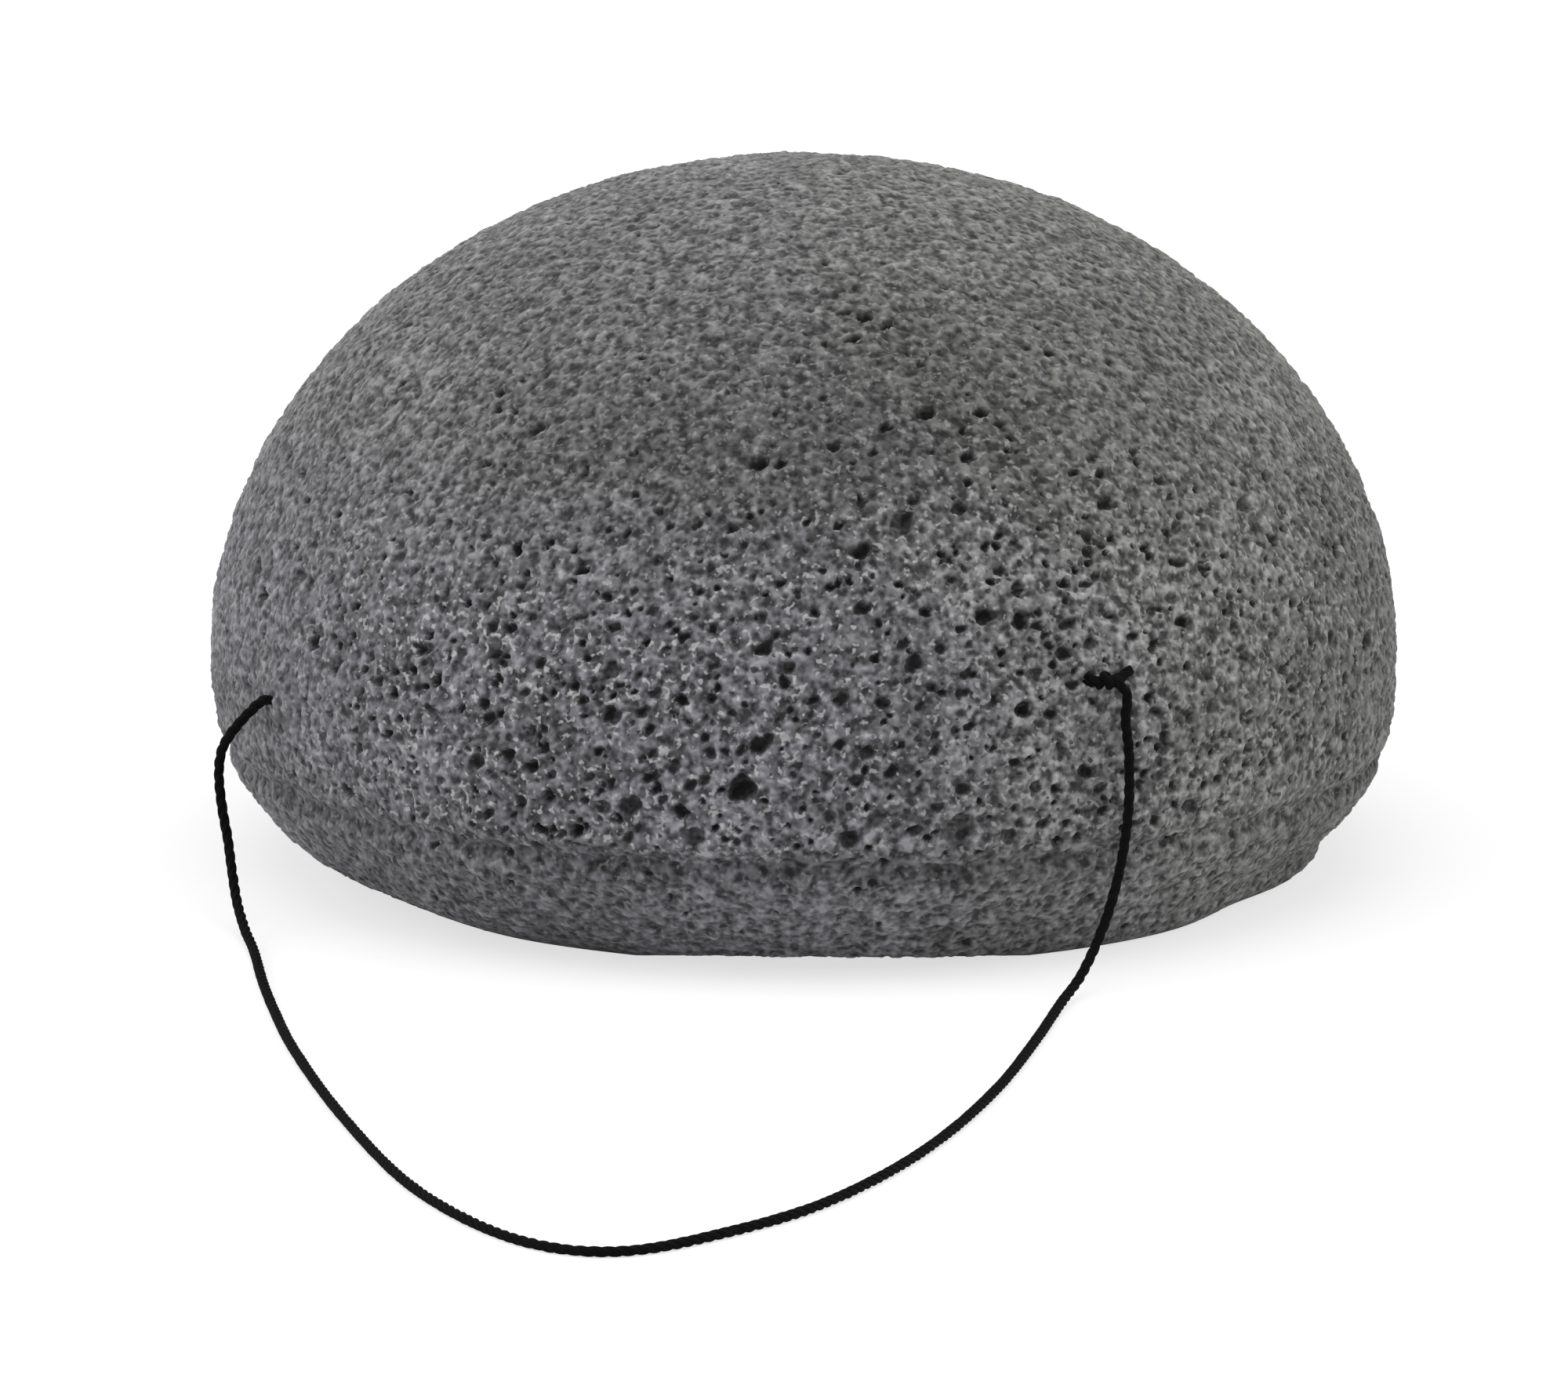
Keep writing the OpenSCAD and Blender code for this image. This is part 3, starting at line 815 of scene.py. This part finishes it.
def foam_skin():
    """The moulded skin without its pores, as one mesh with its masks."""
    s = settings().sponge
    way, quads, uvs = cube_sphere(s.mesh_steps, s.front_focus)
    co = foam_points(way)
    mesh = bpy.data.meshes.new("foam_skin")
    mesh.vertices.add(len(co))
    mesh.vertices.foreach_set("co", co.ravel())
    mesh.loops.add(quads.size)
    mesh.loops.foreach_set("vertex_index", quads.ravel().astype(np.int32))
    mesh.polygons.add(len(quads))
    mesh.polygons.foreach_set("loop_start", np.arange(0, quads.size, 4, dtype=np.int32))
    mesh.polygons.foreach_set("use_smooth", np.ones(len(quads), bool))
    mesh.uv_layers.new(name="OFBake").data.foreach_set("uv", uvs.ravel().astype(np.float32))
    keep_values(mesh, skin_masks(*(co.T / MM)))
    mesh.update(calc_edges=True)
    mesh.validate()
    return linked("foam_skin", mesh)


def pore_marks(skin):
    """The listed pores: points on the skin with a radius and a depth."""
    tree = BVHTree.FromObject(skin, bpy.context.evaluated_depsgraph_get())
    eye = camera_axes()[0]
    scale = settings().stage.scale
    points, radii, depths = [], [], []
    for x, y, wide, deep in PORE_MARKS:
        hit = tree.ray_cast(eye, pixel_ray(x, y))[0]
        if hit is None:
            raise RuntimeError(f"no foam behind pixel {x}, {y}")
        points.append(hit)
        radii.append(wide / scale * MM * MARK_SHARE)
        depths.append(deep)
    points.append(tree.find_nearest(RIGHT_MOUTH)[0])
    radii.append(MOUTH_PORE * MM)
    depths.append(1.0)
    marks = mesh_object("pore_marks", points)
    keep_values(marks.data, {"pore_radius": radii, "pore_depth": depths})
    return marks


def pore_masks(t):
    """How thickly the pores of each size lie. Where the marks are, fewer are scattered."""
    band = t.named("band")
    plain = t.minus(1.0, t.named("marked"))
    return {
        "Large": t.times(t.math("POWER", band, 1.5), t.line(plain, 0.92, 0.08)),
        "Medium": t.times(t.line(band, 0.97, 0.03), t.line(plain, 0.55, 0.45)),
        "Small": t.line(band, 0.88, 0.12),
    }


def pore_points(t, given, size, mask, seed):
    """Points on the skin where pores of one size open, each with its radius, depth and lean."""
    least, most, shallowest = PORE_SIZES[size][:3]
    radius = given[f"{size} Radius"]
    scatter = t.add("GeometryNodeDistributePointsOnFaces",
                    {"Mesh": given["Geometry"], "Distance Min": t.times(radius, PORE_SPACING),
                     "Density Max": given[f"{size} Density"], "Density Factor": mask, "Seed": seed},
                    distribute_method="POISSON")
    points = t.store(scatter.outputs["Points"], "pore_radius",
                     t.times(radius, t.random(least, most, seed)))
    points = t.store(points, "pore_depth", t.random(shallowest, PORE_DEEPEST, t.plus(seed, DEPTH_SEED)))
    if size == "Large":
        marks = t.add("GeometryNodeObjectInfo", {"Object": given["Pore Marks"]})
        marks = t.add("GeometryNodeMeshToPoints", {"Mesh": marks.outputs["Geometry"]}).outputs[0]
        join = t.add("GeometryNodeJoinGeometry")
        t.feed(join.inputs[0], points)
        t.feed(join.inputs[0], marks)
        points = join.outputs[0]
    ways = {0: (-1.0, -1.0, -1.0), 1: (1.0, 1.0, 1.0), 8: t.plus(seed, LEAN_SEED)}
    way = t.add("FunctionNodeRandomValue", ways, data_type="FLOAT_VECTOR").outputs[0]
    return t.store(points, "pore_way", t.vector("NORMALIZE", way), "FLOAT_VECTOR")


def pore_bowls(t, given, size, points, place):
    """The nearest pore of one size at each place: how far its middle is in radii, how deep the skin goes,
    how much painted shade darkens it, and its rim."""
    waves, stray = PORE_SIZES[size][3:]
    moved = t.bent(place, waves, t.times(given["Rim Roughness"], stray), 2.0, 0.6)
    nearest = t.add("GeometryNodeSampleNearest", {"Geometry": points, "Sample Position": moved},
                    domain="POINT").outputs[0]

    def read(value, kind="FLOAT"):
        node = t.add("GeometryNodeSampleIndex", {"Geometry": points, "Index": nearest},
                     data_type=kind, domain="POINT")
        t.feed(node.inputs["Value"], value)
        return node.outputs[0]

    centre = read(t.add("GeometryNodeInputPosition").outputs[0], "FLOAT_VECTOR")
    radius, deep = read(t.named("pore_radius")), read(t.named("pore_depth"))
    lean = read(t.named("pore_way", "FLOAT_VECTOR"), "FLOAT_VECTOR")
    away = t.vector("SUBTRACT", moved, centre)
    squeeze = t.times(t.vector("DOT_PRODUCT", away, lean), PORE_SQUEEZE)
    away = t.vector("ADD", away, t.scaled(lean, squeeze))
    reach = t.math("DIVIDE", t.vector("LENGTH", away), t.times(radius, PORE_WIDER))
    bowl = t.math("SQRT", t.math("MAXIMUM", t.minus(1.0, t.times(reach, reach)), 0.0))
    depth = t.times(t.times(bowl, radius), t.times(deep, PORE_DEEPER))
    # Painted shade: the colour darkens towards a pore's middle, and more in deeper pores.
    dark = t.times(t.spread(reach, 0.98, 0.78), t.spread(deep, 0.2, 1.05, 0.25, 1.0))
    rim = t.times(t.spread(reach, 1.7, 1.2), t.spread(reach, 0.95, 1.15))
    return reach, (depth, dark, rim)


def pore_tree():
    """Bubbles of three sizes that open at the skin, the swells of the foam and its crumbs."""
    sizes = {label: "Int" if label == "Seed" else "Float" for label in PORE_INPUTS}
    t = new_tree("GeometryNodeTree", "Foam pores",
                 {"Geometry": "Geometry", "Pore Marks": "Object", **sizes, "Material": "Material"},
                 {"Geometry": "Geometry"})
    given = t.add("NodeGroupInput").outputs
    place = t.add("GeometryNodeInputPosition").outputs[0]
    normal = t.add("GeometryNodeInputNormal").outputs[0]
    layers, reaches = [], []
    for turn, (size, mask) in enumerate(pore_masks(t).items()):
        for larger, (close, clear) in zip(reaches, PORE_WALLS[size]):
            mask = t.times(mask, t.spread(larger, close, clear))
        seed = t.plus(given["Seed"], float(turn * SIZE_SEED))
        reach, layer = pore_bowls(t, given, size, pore_points(t, given, size, mask, seed), place)
        reaches.append(reach)
        layers.append(layer)
    depth, dark, rim = layers[0]
    for other_depth, other_dark, other_rim in layers[1:]:
        depth = t.math("MAXIMUM", depth, other_depth)
        dark = t.math("MAXIMUM", dark, other_dark)
        rim = t.math("MAXIMUM", rim, other_rim)
    free = t.spread(t.add("ShaderNodeSeparateXYZ", {0: place}).outputs["Z"], 0.0, SWELL_FREE)
    lump = t.minus(t.noise(place, LUMPS, 1.0, 0.4), 0.5)
    ripple = t.minus(t.noise(place, RIPPLES, 2.0, 0.5), 0.5)
    crumb = t.ramp(t.noise(place, CRUMBS, 1.0, 0.6), 0.3, 0.7)
    swell = t.line(ripple, given["Ripple Height"], t.times(lump, given["Lump Height"]))
    swell = t.line(t.minus(crumb, 0.5), given["Grain Height"], t.times(swell, 2.0))
    offset = t.scaled(normal, t.minus(t.times(swell, free), depth))
    # The values are read at the skin's own place, so they are stored before the skin moves: the pores'
    # painted shade, the rims and the crumbs.
    skin = t.store(t.store(t.store(given["Geometry"], "pore", dark), "rim", rim), "crumb", crumb)
    shape = t.add("GeometryNodeSetPosition", {"Geometry": skin, "Offset": offset}).outputs[0]
    return t.end(shape, given["Material"])


class KONJAC_OT_foam(bpy.types.Operator):
    """Makes the foam block with its pores"""
    bl_idname = "konjac.foam"
    bl_label = "Foam block"

    def execute(self, context):
        skin = foam_skin()
        marks = pore_marks(skin)
        sizes = {label: getattr(settings().pores, name) for label, name in PORE_INPUTS.items()}
        with_modifier(skin, pore_tree(),
                      {"Pore Marks": marks, **sizes, "Material": material("Konjac foam")})
        foam = plain_piece(skin, "foam_body")
        bpy.data.objects.remove(marks)
        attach(foam, "foam")
        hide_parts("sponge")
        return {"FINISHED"}


# The string and its knot.


def string_tree():
    """Strands laid round a path, each a tube, with the way along and round it kept for the fibres."""
    t = new_tree("GeometryNodeTree", "Twisted string",
                 {"Geometry": "Geometry", "Plies": "Int", "Strand Radius": "Float",
                  "Twist Radius": "Float", "Lay": "Float", "Step": "Float", "Unevenness": "Float",
                  "Material": "Material"},
                 {"Geometry": "Geometry"})
    given = t.add("NodeGroupInput").outputs
    path = t.add("GeometryNodeMeshToCurve", {"Mesh": given["Geometry"]}).outputs[0]
    path = t.add("GeometryNodeResampleCurve", {"Curve": path, "Length": given["Step"]},
                 mode="LENGTH").outputs[0]
    copies = t.add("GeometryNodeDuplicateElements", {"Geometry": path, "Amount": given["Plies"]},
                   domain="SPLINE").outputs
    run = t.add("GeometryNodeSplineParameter").outputs["Length"]
    share = t.math("DIVIDE", copies["Duplicate Index"], given["Plies"])
    turn = t.plus(t.math("DIVIDE", run, given["Lay"]), share)
    angle = t.times(turn, math.tau)
    normal = t.add("GeometryNodeInputNormal").outputs[0]
    tangent = t.add("GeometryNodeInputTangent").outputs[0]
    side = t.vector("CROSS_PRODUCT", tangent, normal)
    place = t.add("GeometryNodeInputPosition").outputs[0]
    wave = t.minus(t.noise(place, STRAND_WAVES, 2.0, 0.6), 0.5)
    uneven = t.line(wave, t.times(given["Unevenness"], 2.0), 1.0)
    out = t.times(given["Twist Radius"], uneven)
    offset = t.vector("ADD", t.scaled(normal, t.times(t.math("COSINE", angle), out)),
                      t.scaled(side, t.times(t.math("SINE", angle), out)))
    strands = t.store(copies[0], "along", run)
    strands = t.add("GeometryNodeSetPosition", {"Geometry": strands, "Offset": offset}).outputs[0]
    ring = t.add("GeometryNodeCurvePrimitiveCircle",
                 {"Resolution": STRAND_SIDES, "Radius": given["Strand Radius"]}).outputs[0]
    ring = t.store(ring, "around", t.add("GeometryNodeSplineParameter").outputs["Factor"])
    tube = t.add("GeometryNodeCurveToMesh", {"Curve": strands, "Profile Curve": ring, "Scale": uneven,
                                             "Fill Caps": True}).outputs[0]
    tube = t.add("GeometryNodeSetShadeSmooth", {0: tube}).outputs[0]
    return t.end(tube, given["Material"])


def smooth_route(points, steps):
    """A Catmull-Rom line through the points."""
    p = [2 * points[0] - points[1], *points, 2 * points[-1] - points[-2]]
    route = []
    for a, b, c, d in zip(p, p[1:], p[2:], p[3:]):
        for k in range(steps):
            u = k / steps
            route.append(0.5 * (2 * b + (c - a) * u + (2 * a - 5 * b + 4 * c - d) * u ** 2
                                + (3 * b - a - 3 * c + d) * u ** 3))
    return [*route, points[-1]]


def channel_ends():
    """Both ends of the threaded string, just outside the mouths."""
    return LEFT_MOUTH - CHANNEL * LEFT_LEAD, RIGHT_MOUTH + CHANNEL * KNOT_REACH


def loop_route():
    """The loop's way, from the left end of the threaded string to its right end in the knot."""
    left, right = channel_ends()
    start = right + CHANNEL * JOIN_LEAD
    down = (Vector((0, 0, -1)) + CHANNEL * CHANNEL.z).normalized()
    bend = [start + (CHANNEL * math.sin(angle) + down * (1 - math.cos(angle))) * KNOT_BEND
            for angle in map(math.radians, KNOT_BEND_ANGLES)]
    points = [left, left - CHANNEL * JOIN_LEAD, *map(Vector, LOOP_ROUTE), *bend, right]
    return smooth_route(points, ROUTE_STEPS)


def twisted(name, points, thickness, lay, step=0.0002, uneven=0.1):
    """The string along these points. Its thickness is the strands' radius and that of their twist."""
    sizes = settings().string
    tree = bpy.data.node_groups.get("Twisted string") or string_tree()
    carrier = mesh_object(name + "_path", points, [(i, i + 1) for i in range(len(points) - 1)])
    strand, twist = thickness
    with_modifier(carrier, tree, {
        "Plies": sizes.plies, "Strand Radius": sizes.diameter * strand,
        "Twist Radius": sizes.diameter * twist, "Lay": sizes.lay * lay, "Step": step,
        "Unevenness": uneven, "Material": material("Black cotton")})
    return plain_piece(carrier, name)


class KONJAC_OT_string(bpy.types.Operator):
    """Makes the string: the length threaded through the foam and the hanging loop"""
    bl_idname = "konjac.string"
    bl_label = "String"

    def execute(self, context):
        route = loop_route()
        loop = twisted("string_loop_plied", route, STRING_THICKNESS, 1.0)
        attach(loop, "string")
        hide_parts("string_loop")
        ends = channel_ends()
        inner = [ends[0].lerp(ends[1], i / CHANNEL_STEPS) for i in range(CHANNEL_STEPS + 1)]
        channel = twisted("threaded_string_plied", inner, STRING_THICKNESS, 1.0)
        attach(channel, "string")
        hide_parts("threaded_string")
        return {"FINISHED"}


def mouth_axes():
    """Out of the foam and across it to the right, level, at the right mouth."""
    out = Vector((RIGHT_MOUTH.x, RIGHT_MOUTH.y, 0)).normalized()
    return out, Vector((-out.y, out.x, 0.0))


def knot_points():
    """The knot's own cord: it starts in the mouth and turns round the string's end."""
    s = settings().string
    out, across = mouth_axes()
    ring = s.knot_diameter / 2 - s.diameter * sum(KNOT_THICKNESS)
    # The turns start at the mouth, go along the string's end and a little way round its bend.
    line = [RIGHT_MOUTH + CHANNEL * (k * KNOT_STEP * MM) for k in KNOT_LINE]
    line += [p for p in reversed(loop_route())
             if KNOT_NEAR * MM < (p - line[-1]).length < KNOT_FAR * MM]
    spots = np.array([tuple(p) for p in line])
    run = np.concatenate([[0], np.cumsum(np.linalg.norm(np.diff(spots, axis=0), axis=1))])

    def at(length):
        return np.array([np.interp(length, run, spots[:, i]) for i in range(3)])

    turns = []
    for k in range(KNOT_STEPS + 1):
        share = k / KNOT_STEPS
        here = run[-1] * share
        ahead = Vector(at(min(here + KNOT_LOOK, run[-1])) - at(here - KNOT_LOOK)).normalized()
        normal = (out - ahead * out.dot(ahead)).normalized()
        angle = KNOT_START + share * KNOT_ROUNDS * math.tau
        # The turns are small at both ends of the knot, and don't lie quite square to the string.
        fullness = math.sin(math.pi * min(1.0, share * KNOT_SWELL + KNOT_SWELL_START))
        size = ring * (KNOT_TAPER + (1 - KNOT_TAPER) * fullness)
        shift = ahead * (KNOT_SLANT * MM * math.sin(2 * angle + 1.0))
        spoke = normal * math.cos(angle) + ahead.cross(normal) * math.sin(angle)
        turns.append(Vector(at(here)) + spoke * size + shift)
    left, inside = KNOT_FIRST
    first = RIGHT_MOUTH - across * left * MM - out * inside * MM
    return smooth_route([first, *turns], KNOT_ROUTE_STEPS)


def cut_end_points():
    """The cut end that leans out of the knot to the right and rests on the foam."""
    out, across = mouth_axes()
    line = [RIGHT_MOUTH + (across * side + out * off + Vector((0, 0, up))) * MM
            for side, off, up in CUT_END]
    return smooth_route(line, ROUTE_STEPS)


class KONJAC_OT_knot(bpy.types.Operator):
    """Makes the knot at the right mouth and its cut end"""
    bl_idname = "konjac.knot"
    bl_label = "Knot"

    def execute(self, context):
        knot = twisted("knot_tied", knot_points(), KNOT_THICKNESS, KNOT_LAY, step=0.0001, uneven=0.15)
        end = twisted("knot_cut_end", cut_end_points(), CUT_THICKNESS, 1.0, step=0.0001, uneven=0.2)
        for piece in (knot, end):
            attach(piece, "foam")
            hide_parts("knot")
        return {"FINISHED"}


# The stage.


def add_camera(scene, stage):
    """A camera at the picture's angle and scale."""
    camera = linked("camera", bpy.data.cameras.new("camera"))
    camera.location = camera_axes()[0]
    camera.rotation_euler = (math.pi / 2 - stage.elevation, 0, 0)
    camera.data.sensor_width = SENSOR_WIDTH
    camera.data.lens = stage.scale * stage.distance / MM / FRAME_WIDTH * SENSOR_WIDTH
    camera.data.clip_start, camera.data.clip_end = CAMERA_RANGE
    scene.camera = camera
    scene.view_settings.view_transform = "Standard"


def add_sky(scene, stage):
    """A plain sky that the camera sees as white."""
    world = bpy.data.worlds.new("sky")
    world.use_nodes = True
    scene.world = world
    t = Tree(world.node_tree)
    seen = t.add("ShaderNodeLightPath").outputs["Is Camera Ray"]
    back = world.node_tree.nodes["Background"]
    back.inputs["Color"].default_value = (1, 1, 1, 1)
    t.feed(back.inputs["Strength"], t.line(seen, 1.0 - stage.sky, stage.sky))


def add_lamps(stage):
    """Wide soft lamps from above and from both sides."""
    for name, (tilt, turn) in LAMPS.items():
        sun = linked(name, bpy.data.lights.new(name, "SUN"))
        sun.data.energy = getattr(stage, name)
        sun.data.angle = math.radians(LAMP_WIDTH)
        sun.rotation_euler = (math.radians(tilt), 0, math.radians(turn))


def add_floor(stage):
    """A pale floor that the camera sees as nearly white, with the object's shadow on it."""
    reach = FLOOR_REACH
    corners = [(-reach, -reach, 0), (reach, -reach, 0), (reach, reach, 0), (-reach, reach, 0)]
    floor = mesh_object("floor", corners, faces=[(0, 1, 2, 3)])
    paper = bpy.data.materials.new("Floor")
    paper.use_nodes = True
    paper.node_tree.nodes.clear()
    t = Tree(paper.node_tree)
    seen = t.add("ShaderNodeLightPath").outputs["Is Camera Ray"]
    tint = t.mix(seen, rgba(stage.floor_colour), rgba(stage.floor_colour, FLOOR_SEEN))
    dull = t.add("ShaderNodeBsdfDiffuse", {"Color": tint})
    glow = t.add("ShaderNodeEmission", {"Color": (1, 1, 1, 1), "Strength": t.times(seen, FLOOR_GLOW)})
    both = t.add("ShaderNodeAddShader", {0: dull.outputs[0], 1: glow.outputs[0]})
    t.add("ShaderNodeOutputMaterial", {"Surface": both.outputs[0]})
    floor.data.materials.append(paper)


class KONJAC_OT_stage(bpy.types.Operator):
    """Sets the camera, the floor and the light"""
    bl_idname = "konjac.stage"
    bl_label = "Stage"

    def execute(self, context):
        stage = settings().stage
        add_camera(context.scene, stage)
        add_sky(context.scene, stage)
        add_lamps(stage)
        add_floor(stage)
        return {"FINISHED"}


# The panel.


class KONJAC_PT_panel(bpy.types.Panel):
    """Lists the pieces and their sizes"""
    bl_label = "Konjac sponge"
    bl_idname = "KONJAC_PT_panel"
    bl_space_type = "VIEW_3D"
    bl_region_type = "UI"
    bl_category = "Sponge"

    def draw(self, context):
        values = context.scene.konjac
        for group in ("stage", "sponge", "pores", "string", "finish"):
            box = self.layout.box()
            box.label(text=group.capitalize())
            part = getattr(values, group)
            for name in part.bl_rna.properties.keys():
                if name not in ("rna_type", "name"):
                    box.prop(part, name)
        for operator in ("stage", "string", "knot", "foam"):
            self.layout.operator("konjac." + operator)


CLASSES = (SpongeSizes, PoreSizes, StringSizes, Finishes, StageSettings, Settings,
           KONJAC_OT_stage, KONJAC_OT_foam, KONJAC_OT_string, KONJAC_OT_knot, KONJAC_PT_panel)


def register():
    for c in CLASSES:
        bpy.utils.register_class(c)
    bpy.types.Scene.konjac = bpy.props.PointerProperty(type=Settings)


def unregister():
    del bpy.types.Scene.konjac
    for c in reversed(CLASSES):
        bpy.utils.unregister_class(c)


def main():
    register()
    bpy.ops.konjac.stage()
    bpy.ops.konjac.string()
    bpy.ops.konjac.knot()
    bpy.ops.konjac.foam()


if __name__ == "__main__":
    main()
